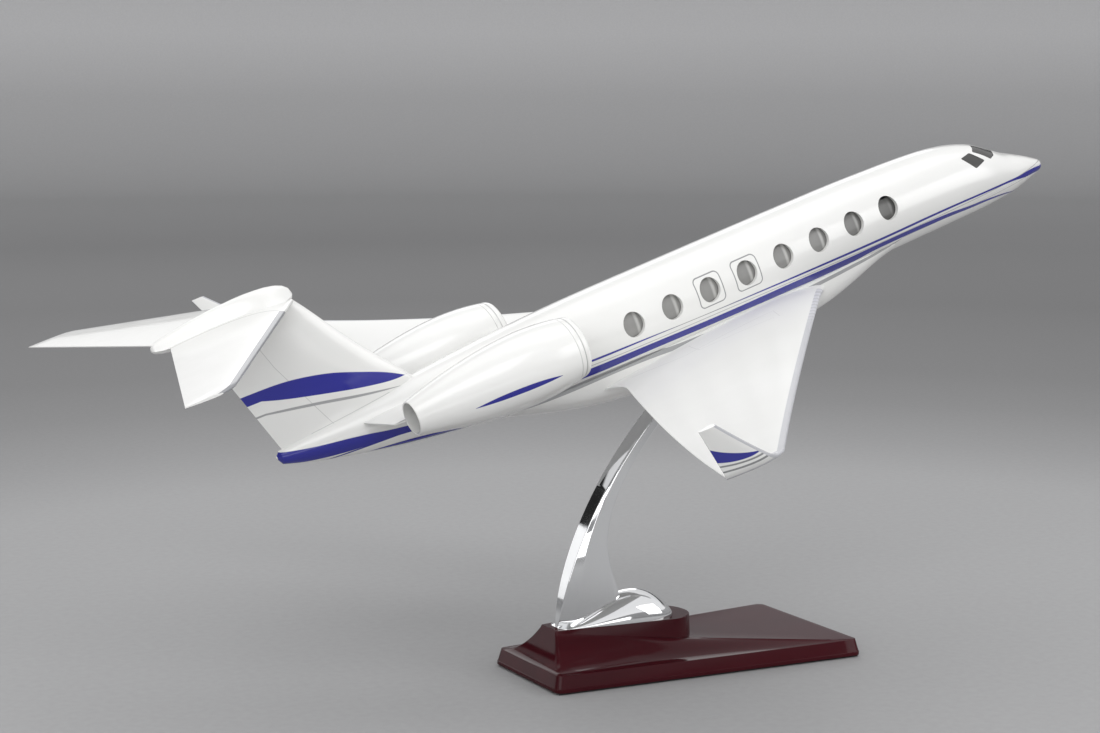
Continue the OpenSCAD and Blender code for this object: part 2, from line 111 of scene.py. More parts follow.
def quads(m, n):
    """Faces between m rings of n points."""
    return [(i * n + j, i * n + (j + 1) % n, (i + 1) * n + (j + 1) % n, (i + 1) * n + j)
            for i in range(m - 1) for j in range(n)]


def loft(rings):
    """Vertices and faces of a closed skin through rings that have equally many points."""
    m, n = len(rings), len(rings[0])
    verts = [tuple(p) for ring in rings for p in ring]
    faces = quads(m, n)
    for first, ring in ((0, rings[0]), ((m - 1) * n, rings[-1])):
        verts.append(tuple(np.mean(ring, axis=0)))
        faces += [(first + j, first + (j + 1) % n, len(verts) - 1) for j in range(n)]
    return verts, faces


def revolve(profile, segments=96):
    """Skin of a profile of (radius, station) turned about an engine's axis."""
    turns = np.linspace(0, 2 * math.pi, segments, endpoint=False)
    return loft([[(-a, ENGINE_Y + r * math.cos(q), ENGINE_Z + r * math.sin(q)) for q in turns]
                 for r, a in profile])


def merge(*parts):
    """Several (vertices, faces) as one."""
    verts, faces = [], []
    for v, f in parts:
        faces += [tuple(i + len(verts) for i in face) for face in f]
        verts += list(v)
    return verts, faces


SIDES = ((1, "left"), (-1, "right"))


def mirrored(verts, side):
    return [(x, y * side, z) for x, y, z in verts]


def add_object(name, data):
    """A new object in the scene."""
    made = bpy.data.objects.new(name, data)
    bpy.context.scene.collection.objects.link(made)
    return made


def point_at(made, direction):
    """Turns a lamp or camera so that it looks this way."""
    made.rotation_mode = "QUATERNION"
    made.rotation_quaternion = Vector(direction).to_track_quat("-Z", "Y")


def make_mesh(name, verts, faces, in_aircraft=True):
    """A mesh in the row frame with its normals facing out."""
    points = aloft(verts) if in_aircraft else np.asarray(verts, float)
    mesh = bpy.data.meshes.new(name)
    mesh.from_pydata((points * MM).tolist(), [], faces)
    bm = bmesh.new()
    bm.from_mesh(mesh)
    bmesh.ops.recalc_face_normals(bm, faces=bm.faces)
    bm.to_mesh(mesh)
    bm.free()
    return mesh


def piece(name, shape, material, body, replaced=(), sharp=35, values=None, in_aircraft=True):
    """A finished piece of the object: its mesh, finish, body and the CAD nodes that it stands for."""
    mesh = make_mesh(name, *shape, in_aircraft=in_aircraft)
    for key, numbers in (values or {}).items():
        attribute = mesh.attributes.new(key, "FLOAT", "POINT")
        attribute.data.foreach_set("value", np.asarray(numbers, np.float32))
    made = add_object(name, mesh)
    smooth(made, sharp)
    made.data.materials.append(material)
    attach(made, body)
    if replaced:
        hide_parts(*replaced)
    return made


def pair(name, shape, material, nodes, values=None):
    """The port piece of the aircraft and its mirror image; {} in names stands for the side."""
    verts, faces = shape
    for side, word in SIDES:
        piece(name.format(word), (mirrored(verts, side), faces), material, "aircraft",
              replaced=[node.format(word) for node in nodes], values=values)


def smooth(made, sharp):
    """Smooth shading, with hard edges where faces meet at more than sharp degrees."""
    made.data.polygons.foreach_set("use_smooth", [True] * len(made.data.polygons))
    made.data.set_sharp_from_angle(angle=math.radians(sharp))


def apply_modifier(made, kind, **settings):
    modifier = made.modifiers.new(kind.lower(), kind)
    for key, value in settings.items():
        setattr(modifier, key, value)
    with bpy.context.temp_override(object=made, active_object=made):
        bpy.ops.object.modifier_apply(modifier=modifier.name)


def boolean(made, shapes, operation, in_aircraft=True):
    """Combines a piece with closed shapes, which must not overlap each other."""
    mesh = make_mesh("cutter", *merge(*shapes), in_aircraft=in_aircraft)
    cutter = add_object("cutter", mesh)
    apply_modifier(made, "BOOLEAN", operation=operation, solver="EXACT", object=cutter)
    bpy.data.objects.remove(cutter)
    bpy.data.meshes.remove(mesh)


def cut(made, shapes, in_aircraft=True):
    """Cuts closed shapes out of a piece."""
    boolean(made, shapes, "DIFFERENCE", in_aircraft)


def keep_inside(made, shapes):
    """Keeps only what lies inside closed shapes."""
    boolean(made, shapes, "INTERSECT")


def prism(outline, low, high):
    """Closed upright prism over an outline of X and Y."""
    return loft([[(u, v, w) for u, v in outline] for w in (low, high)])


def side_prism(outline, low, high):
    """Closed prism that runs along Y, over an outline of X and Z."""
    return loft([[(u, w, v) for u, v in outline] for w in (low, high)])


def rounded(points, radius, steps=5):
    """A polygon with its corners rounded off."""
    points = np.asarray(points, float)
    out = []
    for k, corner in enumerate(points):
        before, after = points[k - 1] - corner, points[(k + 1) % len(points)] - corner
        a = corner + before * min(radius / np.linalg.norm(before), 0.45)
        b = corner + after * min(radius / np.linalg.norm(after), 0.45)
        for t in np.linspace(0, 1, steps):
            out.append(tuple(a * (1 - t) ** 2 + 2 * corner * t * (1 - t) + b * t * t))
    return out


# ---- node graphs

WHITE = (0.80, 0.80, 0.785, 1)
WARM_WHITE = (0.76, 0.76, 0.742, 1)
BLUE = (0.014, 0.016, 0.26, 1)
LINE_GREY = (0.23, 0.235, 0.24, 1)
BAND_GREY = (0.34, 0.345, 0.35, 1)
SILVER = (0.50, 0.505, 0.53, 1)


class Graph:
    """One material and short calls for building its nodes."""

    def __init__(self, name):
        self.material = bpy.data.materials.new(name)
        self.material.use_nodes = True
        self.tree = self.material.node_tree
        self.shader = next(n for n in self.tree.nodes if n.type == "BSDF_PRINCIPLED")

    def feed(self, socket, value):
        if isinstance(value, bpy.types.NodeSocket):
            self.tree.links.new(value, socket)
        else:
            socket.default_value = value

    def node(self, kind, inputs=None, **settings):
        made = self.tree.nodes.new(kind)
        for key, value in settings.items():
            setattr(made, key, value)
        for key, value in (inputs or {}).items():
            self.feed(made.inputs[key], value)
        return made

    def math(self, operation, *values):
        made = self.node("ShaderNodeMath", operation=operation)
        for socket, value in zip(made.inputs, values):
            self.feed(socket, value)
        return made.outputs[0]

    def add(self, *values):
        total = values[0]
        for value in values[1:]:
            total = self.math("ADD", total, value)
        return total

    def sub(self, a, b):
        return self.math("SUBTRACT", a, b)

    def mul(self, *values):
        total = values[0]
        for value in values[1:]:
            total = self.math("MULTIPLY", total, value)
        return total

    def gap(self, a, b):
        """How far apart a and b are."""
        return self.math("ABSOLUTE", self.sub(a, b))

    def inside(self, distance, soft=0.07):
        """1 where the distance is below zero, 0 above, with a soft edge in millimetres."""
        return self.node("ShaderNodeMapRange", {"Value": distance, 1: -soft, 2: soft, 3: 1.0, 4: 0.0},
                         interpolation_type="SMOOTHSTEP").outputs[0]

    def between(self, value, low, high, soft=0.07):
        """1 where value lies between low and high."""
        return self.mul(self.inside(self.sub(low, value), soft), self.inside(self.sub(value, high), soft))

    def coords(self):
        return self.node("ShaderNodeTexCoord").outputs["Object"]

    def aircraft(self):
        """Station, distance to port and height on the aircraft, in millimetres."""
        place = self.node("ShaderNodeMapping", {"Vector": self.coords(), "Location": tuple(NOSE * MM),
                                                "Rotation": (0, -PITCH, 0)}, vector_type="TEXTURE")
        axes = self.node("ShaderNodeSeparateXYZ", {0: place.outputs[0]}).outputs
        return self.mul(axes[0], -1 / MM), self.mul(axes[1], 1 / MM), self.mul(axes[2], 1 / MM)

    def value(self, name):
        return self.node("ShaderNodeAttribute", attribute_name=name).outputs["Fac"]

    def curve(self, along, points):
        """A smooth curve through points of (position, value), both in millimetres."""
        xs, ys = [p[0] for p in points], [p[1] for p in points]
        x0, x1, y0, y1 = min(xs), max(xs), min(ys) - 1, max(ys) + 1
        position = self.node("ShaderNodeMapRange", {"Value": along, 1: x0, 2: x1}).outputs[0]
        made = self.node("ShaderNodeFloatCurve", {"Value": position})
        line = made.mapping.curves[0]
        for x, y in points[1:-1]:
            line.points.new((x - x0) / (x1 - x0), (y - y0) / (y1 - y0))
        line.points[0].location = (0, (ys[0] - y0) / (y1 - y0))
        line.points[len(points) - 1].location = (1, (ys[-1] - y0) / (y1 - y0))
        made.mapping.update()
        return self.add(self.mul(made.outputs[0], y1 - y0), y0)

    def stripe(self, along, across, centre, half, soft=0.07):
        """Paint stripe whose centre and half width follow curves along the body."""
        middle = self.curve(along, centre)
        width = self.curve(along, half) if isinstance(half, list) else half
        return self.inside(self.sub(self.gap(across, middle), width), soft)

    def segment(self, x, y, a, b, half=0.12):
        """Thin line from point a to point b in the plane of x and y."""
        dx, dy = b[0] - a[0], b[1] - a[1]
        length = math.hypot(dx, dy)
        along = self.add(self.mul(x, dx / length), self.mul(y, dy / length),
                         -(a[0] * dx + a[1] * dy) / length)
        off = self.add(self.mul(x, -dy / length), self.mul(y, dx / length),
                       (a[0] * dy - a[1] * dx) / length)
        return self.mul(self.inside(self.sub(self.math("ABSOLUTE", off), half), 0.06),
                        self.between(along, 0, length))

    def highest(self, masks):
        top = masks[0]
        for mask in masks[1:]:
            top = self.math("MAXIMUM", top, mask)
        return top

    def blend(self, factor, a, b):
        """Colour that goes from a to b."""
        made = self.node("ShaderNodeMix", data_type="RGBA")
        for index, value in ((0, factor), (6, a), (7, b)):
            self.feed(made.inputs[index], value)
        return made.outputs[2]

    def noise(self, scale, detail=2.0, stretch=(1, 1, 1)):
        vector = self.node("ShaderNodeMapping", {"Vector": self.coords(), "Scale": stretch}).outputs[0]
        return self.node("ShaderNodeTexNoise", {"Vector": vector, "Scale": scale, "Detail": detail}
                         ).outputs["Fac"]

    def ranged(self, value, low, high):
        return self.node("ShaderNodeMapRange", {"Value": value, 1: 0.25, 2: 0.75, 3: low, 4: high}
                         ).outputs[0]

    def bump(self, height, strength, distance):
        made = self.node("ShaderNodeBump", {"Height": height, "Strength": strength, "Distance": distance})
        self.feed(self.shader.inputs["Normal"], made.outputs[0])

    def set(self, **values):
        """Sets the shader's sockets; underscores stand for spaces."""
        for key, value in values.items():
            self.feed(self.shader.inputs[key.replace("_", " ")], value)
        return self.material


# ---- materials


def painted(name, decorate=None, rough=0.17, coat=0.5):
    """Sprayed gloss white with faint orange peel; decorate lays colours over it."""
    g = Graph(name)
    colour = g.blend(g.ranged(g.noise(22), 0.0, 1.0), WHITE, WARM_WHITE)
    if decorate:
        colour = decorate(g, colour)
    g.bump(g.noise(420), 0.10, 0.0002)
    return g.set(Base_Color=colour, Roughness=g.ranged(g.noise(60), rough, rough + 0.08), IOR=1.5,
                 Coat_Weight=coat, Coat_Roughness=0.06)


def fuselage_livery(g, colour):
    """Blue cheat lines with a grey band below, a painted highlight that turns a stretch of the thin upper
    line light grey, two emergency exits and the blue tail flash.
    """
    station, _, height = g.aircraft()
    band = g.stripe(
        station, height,
        [(100, -12.6), (128, -15.4), (187, -16.8), (221, -16.0), (259, -13.8), (290, -13.4), (330, -11.8)],
        [(100, 0.1), (128, 0.75), (187, 0.9), (221, 1.0), (259, 1.3), (290, 1.3), (330, 0.2)])
    fine = g.stripe(station, height,
                    [(120, -9.9), (167, -9.1), (206, -8.2), (244, -7.4), (274, -6.3), (310, -3.9),
                     (345, -1.6)], 0.16)
    upper = g.stripe(
        station, height,
        [(4, -13.0), (12, -11.9), (21, -11.0), (31, -9.9), (46, -9.0), (78, -8.0), (115, -8.1), (150, -7.7),
         (190, -6.9), (223, -6.0), (244, -5.2), (274, -4.2), (310, -1.9)],
        [(4, 1.1), (12, 1.35), (21, 0.95), (31, 0.55), (46, 0.5), (78, 0.55), (115, 0.6), (150, 0.5),
         (190, 0.3), (223, 0.14), (244, 0.3), (274, 0.5), (310, 0.3)])
    thick = g.stripe(
        station, height,
        [(26, -17.0), (45, -13.9), (58, -13.0), (78, -11.6), (114, -11.3), (132, -12.0), (167, -11.8),
         (206, -11.2), (244, -10.0), (274, -9.3), (320, -6.3), (358, -1.2), (378, 0.9), (396, 2.95),
         (413, 6.4)],
        [(26, 0.3), (45, 0.6), (58, 0.8), (78, 1.1), (114, 1.2), (132, 1.75), (167, 1.9),
         (206, 1.6), (244, 1.6), (274, 1.8), (320, 1.5), (358, 1.55), (378, 2.6), (396, 2.95),
         (413, 2.7)])
    lens = g.stripe(station, height, [(334, -11.6), (353, -8.0), (378, -5.0)],
                    [(334, 0.0), (353, 1.0), (378, -0.1)])
    tail_edge = g.inside(g.sub(station, 413.1))
    colour = g.blend(band, colour, BAND_GREY)
    colour = g.blend(g.mul(fine, 0.7), colour, LINE_GREY)
    # Painted highlight: the thin upper blue line is painted light grey between about stations 195 and 236.
    painted_sheen = g.mul(g.inside(g.sub(195, station), 20), g.inside(g.sub(station, 236), 12))
    colour = g.blend(upper, colour, g.blend(painted_sheen, BLUE, LINE_GREY))
    colour = g.blend(g.mul(g.highest([thick, lens]), tail_edge), colour, BLUE)
    exits = [rounded_square(g, station, height, FIRST_WINDOW + WINDOW_PITCH * k, window_height(k))
             for k in EXIT_WINDOWS]
    return g.blend(g.mul(g.highest(exits), 0.95), colour, LINE_GREY)


def rounded_square(g, x, y, centre_x, centre_y, half=6.7, corner=2.2, line=0.26):
    """Outline of a rounded square."""
    dx = g.math("MAXIMUM", g.sub(g.gap(x, centre_x), half - corner), 0)
    dy = g.math("MAXIMUM", g.sub(g.gap(y, centre_y), half - corner), 0)
    edge = g.sub(g.math("SQRT", g.add(g.mul(dx, dx), g.mul(dy, dy))), corner)
    return g.inside(g.sub(g.math("ABSOLUTE", edge), line))


def wing_marks(g, colour):
    """Silver leading edge, hatched near the root, and fine panel lines."""
    station, across, _ = g.aircraft()
    out = g.math("ABSOLUTE", across)
    aft = g.value("aft")
    strip = g.mul(g.inside(g.sub(aft, 2.9), 0.12), g.inside(g.sub(18, out), 0.5))
    hatch = g.math("GREATER_THAN", g.math("SINE", g.mul(out, 1.7)), 0.2)
    near_root = g.inside(g.sub(out, 52), 10)
    silver = g.blend(g.mul(hatch, near_root), SILVER, (0.62, 0.62, 0.66, 1))
    colour = g.blend(strip, colour, silver)
    lines = g.highest([
        g.segment(station, out, (184, 25), (234, 26)),
        g.segment(station, out, (234, 26), (257, 18)),
        g.segment(station, out, (184, 25), (188, 35.5)),
        g.segment(station, out, (190.5, 34.6), (227, 28.4)),
        g.segment(station, out, (227, 28.4), (226, 18))])
    return g.blend(g.mul(lines, 0.35), colour, LINE_GREY)


def winglet_marks(g, colour):
    """Silver leading edge, painted shade in silver along the foot where the winglet curves up from the wing
    tip, and a blue swoosh with fine lines under it.
    """
    rise, chord, aft = g.value("rise"), g.value("chord"), g.value("aft")
    swoosh = g.stripe(chord, rise, [(0, 0.28), (0.5, 0.37), (1, 0.52)], [(0, 0.0), (0.5, 0.08), (1, 0.13)],
                      0.004)
    lines = [g.stripe(chord, rise, [(0, 0.22), (0.5, 0.24), (1, 0.31)], 0.016, 0.004),
             g.stripe(chord, rise, [(0, 0.15), (0.5, 0.16), (1, 0.20)], 0.016, 0.004)]
    colour = g.blend(g.highest(lines), colour, LINE_GREY)
    colour = g.blend(swoosh, colour, BLUE)
    # The leading edge is silver paint; the band at the winglet's foot is painted shade, in the same silver.
    silver_edge_and_painted_shade = g.highest([g.inside(g.sub(aft, 1.1)), g.inside(g.sub(rise, 0.06), 0.01)])
    return g.blend(silver_edge_and_painted_shade, colour, SILVER)


def stabilizer_marks(g, colour):
    """Silver leading edge, and the joint line of the fin's fairing round the root."""
    station, across, _ = g.aircraft()
    out = g.math("ABSOLUTE", across)
    strip = g.mul(g.inside(g.sub(g.value("aft"), 2.2), 0.12), g.inside(g.sub(17, out), 0.3))
    joint = g.curve(station, [(396, 21), (400, 14.5), (409, 9), (420, 6.4), (441, 4.9)])
    line = g.inside(g.sub(g.gap(out, joint), 0.3), 0.15)
    colour = g.blend(g.mul(line, 0.6), colour, LINE_GREY)
    return g.blend(strip, colour, (0.24, 0.245, 0.26, 1))


def fin_marks(g, colour):
    """A plain blue swoosh with a grey line under it, and the rudder's hinge line."""
    station, _, height = g.aircraft()
    swoosh = g.stripe(station, height, [(350, 18), (368, 23.5), (388, 29), (412, 33.5)],
                      [(350, 0.0), (368, 3.2), (388, 4.2), (412, 2.2)])
    line = g.stripe(station, height, [(352, 14.5), (370, 17.5), (390, 21.6), (412, 25.5)],
                    [(352, 0.0), (370, 0.5), (390, 0.6), (412, 0.4)])
    hinge = g.highest([g.segment(station, height, (386.3, 10.8), (402.7, 42.2)),
                       g.segment(station, height, (402.7, 42.2), (409.5, 60)),
                       g.segment(station, height, (359.6, 14.3), (396.7, 10.9))])
    colour = g.blend(g.mul(hinge, 0.45), colour, LINE_GREY)
    colour = g.blend(line, colour, BAND_GREY)
    return g.blend(swoosh, colour, BLUE)


def cowl_marks(g, colour):
    """Lip joint lines and a plain tapered blue dash on the outboard side."""
    station, across, height = g.aircraft()
    dash = g.stripe(station, height, [(303, 5.0), (322, 6.2), (344, 6.4)],
                    [(303, 0.0), (322, 1.2), (344, 0.0)])
    outboard = g.inside(g.sub(ENGINE_Y + 4, g.math("ABSOLUTE", across)))
    on = g.mul(dash, outboard, g.between(station, 303.5, 343.5))
    joints = g.highest([g.between(station, LIP_JOINT - 0.1, LIP_JOINT + 0.25),
                        g.between(station, LIP_JOINT + 2.5, LIP_JOINT + 2.75)])
    colour = g.blend(g.mul(joints, 0.55), colour, LINE_GREY)
    return g.blend(on, colour, BLUE)


def chrome(name):
    g = Graph(name)
    tint = g.blend(g.noise(35), (0.86, 0.87, 0.88, 1), (0.92, 0.925, 0.93, 1))
    g.bump(g.noise(90), 0.03, 0.0004)
    return g.set(Base_Color=tint, Metallic=1.0, Roughness=g.ranged(g.noise(140), 0.03, 0.075))


def lacquer(name):
    """Deep maroon lacquer with faint brown figure under a clear coat."""
    g = Graph(name)
    figure = g.noise(26, 5.0, (0.35, 2.4, 2.4))
    colour = g.blend(g.ranged(figure, 0.0, 1.0), (0.034, 0.0040, 0.0065, 1), (0.052, 0.0065, 0.0100, 1))
    g.bump(g.noise(300), 0.05, 0.0002)
    return g.set(Base_Color=colour, Roughness=g.ranged(g.noise(80), 0.07, 0.13), IOR=1.22,
                 Coat_Weight=0.03, Coat_Roughness=0.04)


def smoked(name):
    """Smoked film behind the windows, drawn opaque: its grey stands partly for the tint and partly as
    painted shade for the dim cabin behind it, darker forward and paler aft, with a painted highlight streak
    forward of each window's middle.
    """
    g = Graph(name)
    station, _, _ = g.aircraft()
    dark_until, pale_from = 96, 150
    # Painted shade: the film is darkest forward of station 96 and palest aft of station 150.
    aft = g.node("ShaderNodeMapRange", {"Value": station, 1: dark_until, 2: pale_from}).outputs[0]
    across = g.math("MODULO", g.sub(station, FIRST_WINDOW - WINDOW_PITCH / 2), WINDOW_PITCH)
    # Painted highlight: a pale upright streak 2.8 mm forward of each window's middle.
    painted_streak = g.inside(g.sub(g.gap(across, WINDOW_PITCH / 2 - 2.8), 0.7), 0.6)
    shade = g.mul(aft, g.ranged(g.noise(40), 0.75, 1.0))
    colour = g.blend(shade, (0.06, 0.06, 0.058, 1), (0.28, 0.278, 0.27, 1))
    colour = g.blend(g.mul(painted_streak, aft, 0.6), colour, (0.62, 0.62, 0.60, 1))
    return g.set(Base_Color=colour, Roughness=g.ranged(g.noise(120), 0.12, 0.22), IOR=1.45)


def moulded_grey(name):
    g = Graph(name)
    colour = g.blend(g.noise(180), (0.10, 0.105, 0.11, 1), (0.17, 0.175, 0.18, 1))
    g.bump(g.noise(900), 0.15, 0.0002)
    return g.set(Base_Color=colour, Metallic=0.6, Roughness=g.ranged(g.noise(200), 0.3, 0.45))


def felt(name):
    g = Graph(name)
    fibres = g.noise(1400, 4.0, (1, 1, 3))
    colour = g.blend(g.ranged(fibres, 0.0, 1.0), (0.006, 0.006, 0.007, 1), (0.030, 0.029, 0.030, 1))
    g.bump(fibres, 0.6, 0.0004)
    return g.set(Base_Color=colour, Roughness=0.95, Sheen_Weight=0.25)


def steel(name, low, high):
    g = Graph(name)
    brushed = g.noise(160, 3.0, (1, 14, 1))
    colour = g.blend(brushed, (low, low, low * 1.02, 1), (high, high, high * 1.02, 1))
    return g.set(Base_Color=colour, Metallic=1.0, Roughness=g.ranged(brushed, 0.28, 0.48))


def stage_grey(name):
    """Pale grey paper whose colour carries painted light and shade: palest under the model and up the wall,
    darker in between.
    """
    g = Graph(name)
    x, y, z = g.node("ShaderNodeSeparateXYZ", {0: g.coords()}).outputs
    reach = g.add(g.math("SQRT", g.add(g.mul(x, x), g.mul(y, y))), g.mul(z, 2))
    # Painted light and shade: the paper's grey follows distance out and height up the wall.
    shade = g.node("ShaderNodeValToRGB", {0: g.mul(reach, 1 / 7)})
    stops = shade.color_ramp.elements
    for position, grey in FLOOR_PAINTED_LIGHT[1:-1]:
        stops.new(position / 7).color = (grey, grey, grey * 1.01, 1)
    for index, (position, grey) in ((0, FLOOR_PAINTED_LIGHT[0]), (len(FLOOR_PAINTED_LIGHT) - 1, FLOOR_PAINTED_LIGHT[-1])):
        stops[index].position, stops[index].color = position / 7, (grey, grey, grey * 1.01, 1)
    grain = g.ranged(g.noise(260), 0.97, 1.03)
    paper = g.node("ShaderNodeMix", {0: 1.0, 6: shade.outputs[0]}, data_type="RGBA", blend_type="MULTIPLY")
    g.feed(paper.inputs[7], grain)
    return g.set(Base_Color=paper.outputs[2], Roughness=0.85, Specular_IOR_Level=0.2)


# Painted light and shade of the floor by distance from the model, then of the wall by height
FLOOR_PAINTED_LIGHT = ((0, 0.345), (0.3, 0.35), (0.48, 0.34), (0.62, 0.28), (0.8, 0.225), (1.0, 0.195),
                (1.6, 0.175), (2.5, 0.215), (3.9, 0.305), (4.8, 0.44), (5.2, 0.58), (7, 0.70))


# ---- fuselage

# Outline of the fuselage: station, crown height, keel height, half width
OUTLINE = np.array([
    (0, -11.5, -12.9, 0.6), (0.7, -10.2, -13.9, 1.6), (2, -9.2, -14.8, 2.7), (5, -7.5, -15.5, 4.3),
    (10, -4.8, -16.4, 6.6), (17, -1.5, -17.7, 9.5), (24.5, 2.0, -18.9, 12.0), (33, 7.2, -19.5, 14.3),
    (41, 11.58, -19.9, 16.0), (52, 15.0, -20, 17.6), (64, 17.0, -20, 18.7), (80, 18.2, -20, 19.5),
    (100, 19.0, -20, 19.9), (122, 19.6, -20, 20), (170, 19.9, -20, 20), (246, 20, -20, 20),
    (272, 19.8, -19.5, 19.7), (300, 18.9, -17.9, 18.8), (337, 16.6, -13.2, 15.4), (360, 14.6, -9.8, 11.8),
    (376, 13.1, -6.3, 9.0), (398, 10.9, -1.0, 5.2), (410, 9.4, 2.9, 2.8), (412.6, 9.0, 4.0, 2.0),
    (413.6, 8.4, 5.4, 1.3)])
TAIL_END = OUTLINE[-1, 0]
WALL = 1.8
FIRST_WINDOW = 107
WINDOW_PITCH = 20.4
WINDOW_SIZE = (10.4, 11)
WINDOWS = 8
EXIT_WINDOWS = (4, 5)


def window_height(k):
    return 4.4 - 0.2 * k


def outline_at(a):
    """Crown, keel and half width at station a, on a smooth curve through the outline."""
    i = int(np.clip(np.searchsorted(OUTLINE[:, 0], a, side="right") - 1, 0, len(OUTLINE) - 2))
    span = OUTLINE[i + 1, 0] - OUTLINE[i, 0]
    u = (a - OUTLINE[i, 0]) / span

    def slope(k):
        low, high = max(k - 1, 0), min(k + 1, len(OUTLINE) - 1)
        return (OUTLINE[high] - OUTLINE[low]) / (OUTLINE[high, 0] - OUTLINE[low, 0])

    row = (OUTLINE[i] * (1 + 2 * u) * (1 - u) ** 2 + OUTLINE[i + 1] * (3 - 2 * u) * u * u
           + span * u * (1 - u) * (slope(i) * (1 - u) - slope(i + 1) * u))
    blunt = min(a / 0.7, (TAIL_END - a) / 0.8, 1)
    taper = math.sqrt(1 - (1 - blunt) ** 2) * 0.94 + 0.06
    row[1:3] = mix((row[1] + row[2]) / 2, row[1:3], taper)
    row[3] *= taper
    return row[1:]


def skin(a, angle, inset=0.0):
    """Point on the fuselage at station a, angle in degrees from the crown towards port."""
    crown, keel, half = outline_at(a)
    q, rise = math.radians(angle), (crown - keel) / 2
    inset = min(inset, 0.55 * half, 0.55 * rise)
    return (-a, (half - inset) * math.sin(q), (crown + keel) / 2 + (rise - inset) * math.cos(q))


def station_of(x):
    """Station of a point, kept clear of the outline's two ends."""
    return min(max(-x, 0.05), TAIL_END - 0.05)


def hull_level(a, y, z):
    """How far out a point lies in the section at station a: 1 on the skin, less inside."""
    crown, keel, half = outline_at(a)
    return math.hypot(y / half, (z - (crown + keel) / 2) / ((crown - keel) / 2))


def skin_normals(points, step=0.04):
    """Outward directions of the fuselage's surface at these aircraft points."""
    out = []
    for x, y, z in points:
        a = station_of(x)
        crown, keel, half = outline_at(a)
        rise = (crown - keel) / 2
        out.append((-(hull_level(a + step, y, z) - hull_level(a - step, y, z)) / (2 * step),
                    y / half ** 2, (z - (crown + keel) / 2) / rise ** 2))
    return out


def fuselage_stations():
    nose = 122 * np.linspace(0, 1, 62) ** 1.6
    cabin = np.linspace(122, 246, 52)[1:]
    tail = np.linspace(246, TAIL_END, 84)[1:]
    return np.concatenate([nose, cabin, tail])


def fuselage_half(side, word, material):
    """Half of the hollow fuselage moulding, with its windows and cockpit panes cut through."""
    angles = np.linspace(0, 180, 49)
    rings = [[skin(a, q) for q in angles] + [skin(a, q, WALL) for q in angles[::-1]]
             for a in fuselage_stations()]
    verts, faces = loft(rings)
    made = piece(f"fuselage_shell_{word}", (mirrored(verts, side), faces), material, "aircraft",
                 replaced=[f"fuselage_{word}_half"])
    ovals = []
    for k in range(WINDOWS):
        oval = [(-FIRST_WINDOW - WINDOW_PITCH * k + WINDOW_SIZE[0] / 2 * math.cos(q),
                 window_height(k) + WINDOW_SIZE[1] / 2 * math.sin(q))
                for q in np.linspace(0, 2 * math.pi, 48, endpoint=False)]
        ovals.append(side_prism(oval, 8 * side, 30 * side))
    pane, screen = pane_prisms(side)
    cut(made, ovals + [pane])
    cut(made, [screen])
    set_hull_normals(made)


SIDE_PANE = [(-56.2, 10.1), (-48.9, 10.4), (-43.0, 4.8), (-50.8, 3.5)]
FRONT_PANE = [(-40.5, 0.9), (-43.9, 7.6), (-46.6, 10.4), (-38.8, 12.9), (-34.3, 10.1), (-28.8, 0.9)]
PANE_CORNER = 0.9


def pane_prisms(side):
    """Solids that stand over the side pane and the windscreen pane of one side."""
    screen = [(x, y * side) for x, y in rounded(FRONT_PANE, PANE_CORNER)]
    return [side_prism(rounded(SIDE_PANE, PANE_CORNER), 4 * side, 30 * side), prism(screen, 2, 30)]


def set_hull_normals(made):
    """Shades the outer skin with the true surface's normals, so that cut-outs leave no marks."""
    mesh = made.data
    points = np.array([v.co for v in mesh.vertices]) / MM - NOSE
    local = np.stack([points @ AHEAD, points @ PORT, points @ UP], axis=1)
    levels = [hull_level(station_of(x), y, z) for x, y, z in local]
    true = np.array(skin_normals(local))
    true /= np.linalg.norm(true, axis=1)[:, None]
    rows = true[:, :1] * AHEAD + true[:, 1:2] * PORT + true[:, 2:] * UP
    out = []
    for face in mesh.polygons:
        flat = np.array(face.normal)
        outer = all(rows[v] @ flat > 0.93 and levels[v] > 0.97 for v in face.vertices)
        out += [tuple(rows[v]) if outer else tuple(flat) for v in face.vertices]
    mesh.normals_split_custom_set(out)


def lining(stations, low, high, gap=0.4, thick=1.0, steps=24):
    """Curved film just inside the fuselage wall."""
    arc = np.linspace(low, high, steps)
    return loft([[skin(a, q, WALL + gap) for q in arc] + [skin(a, q, WALL + gap + thick) for q in arc[::-1]]
                 for a in stations])


def make_fuselage(livery):
    film = smoked("smoked_film_painted_light")
    for side, word in SIDES:
        fuselage_half(side, word, livery)
        verts, faces = lining(np.linspace(98, 259, 40), 60, 105)
        piece(f"cabin_film_{word}", (mirrored(verts, side), faces), film, "aircraft",
              replaced=[f"cabin_glazing_{word}"])
    for side, word in SIDES:
        for shape, name in zip(pane_prisms(side), ("side_pane", "windscreen")):
            strip = lining(np.linspace(25, 66, 64), -75, 75, gap=-1.6, thick=2.4, steps=96)
            pane = piece(f"{name}_{word}", strip, film, "aircraft",
                         replaced=["cockpit_glazing"])
            keep_inside(pane, [shape])


# ---- belly fairing

FAIRING_FROM, FAIRING_TO = 104, 314
FAIRING_RISE, FAIRING_FALL = 56, 74
FAIRING_ANGLE = 45
FAIRING_HALF_W = 15
BELLY_DEPTH = 31


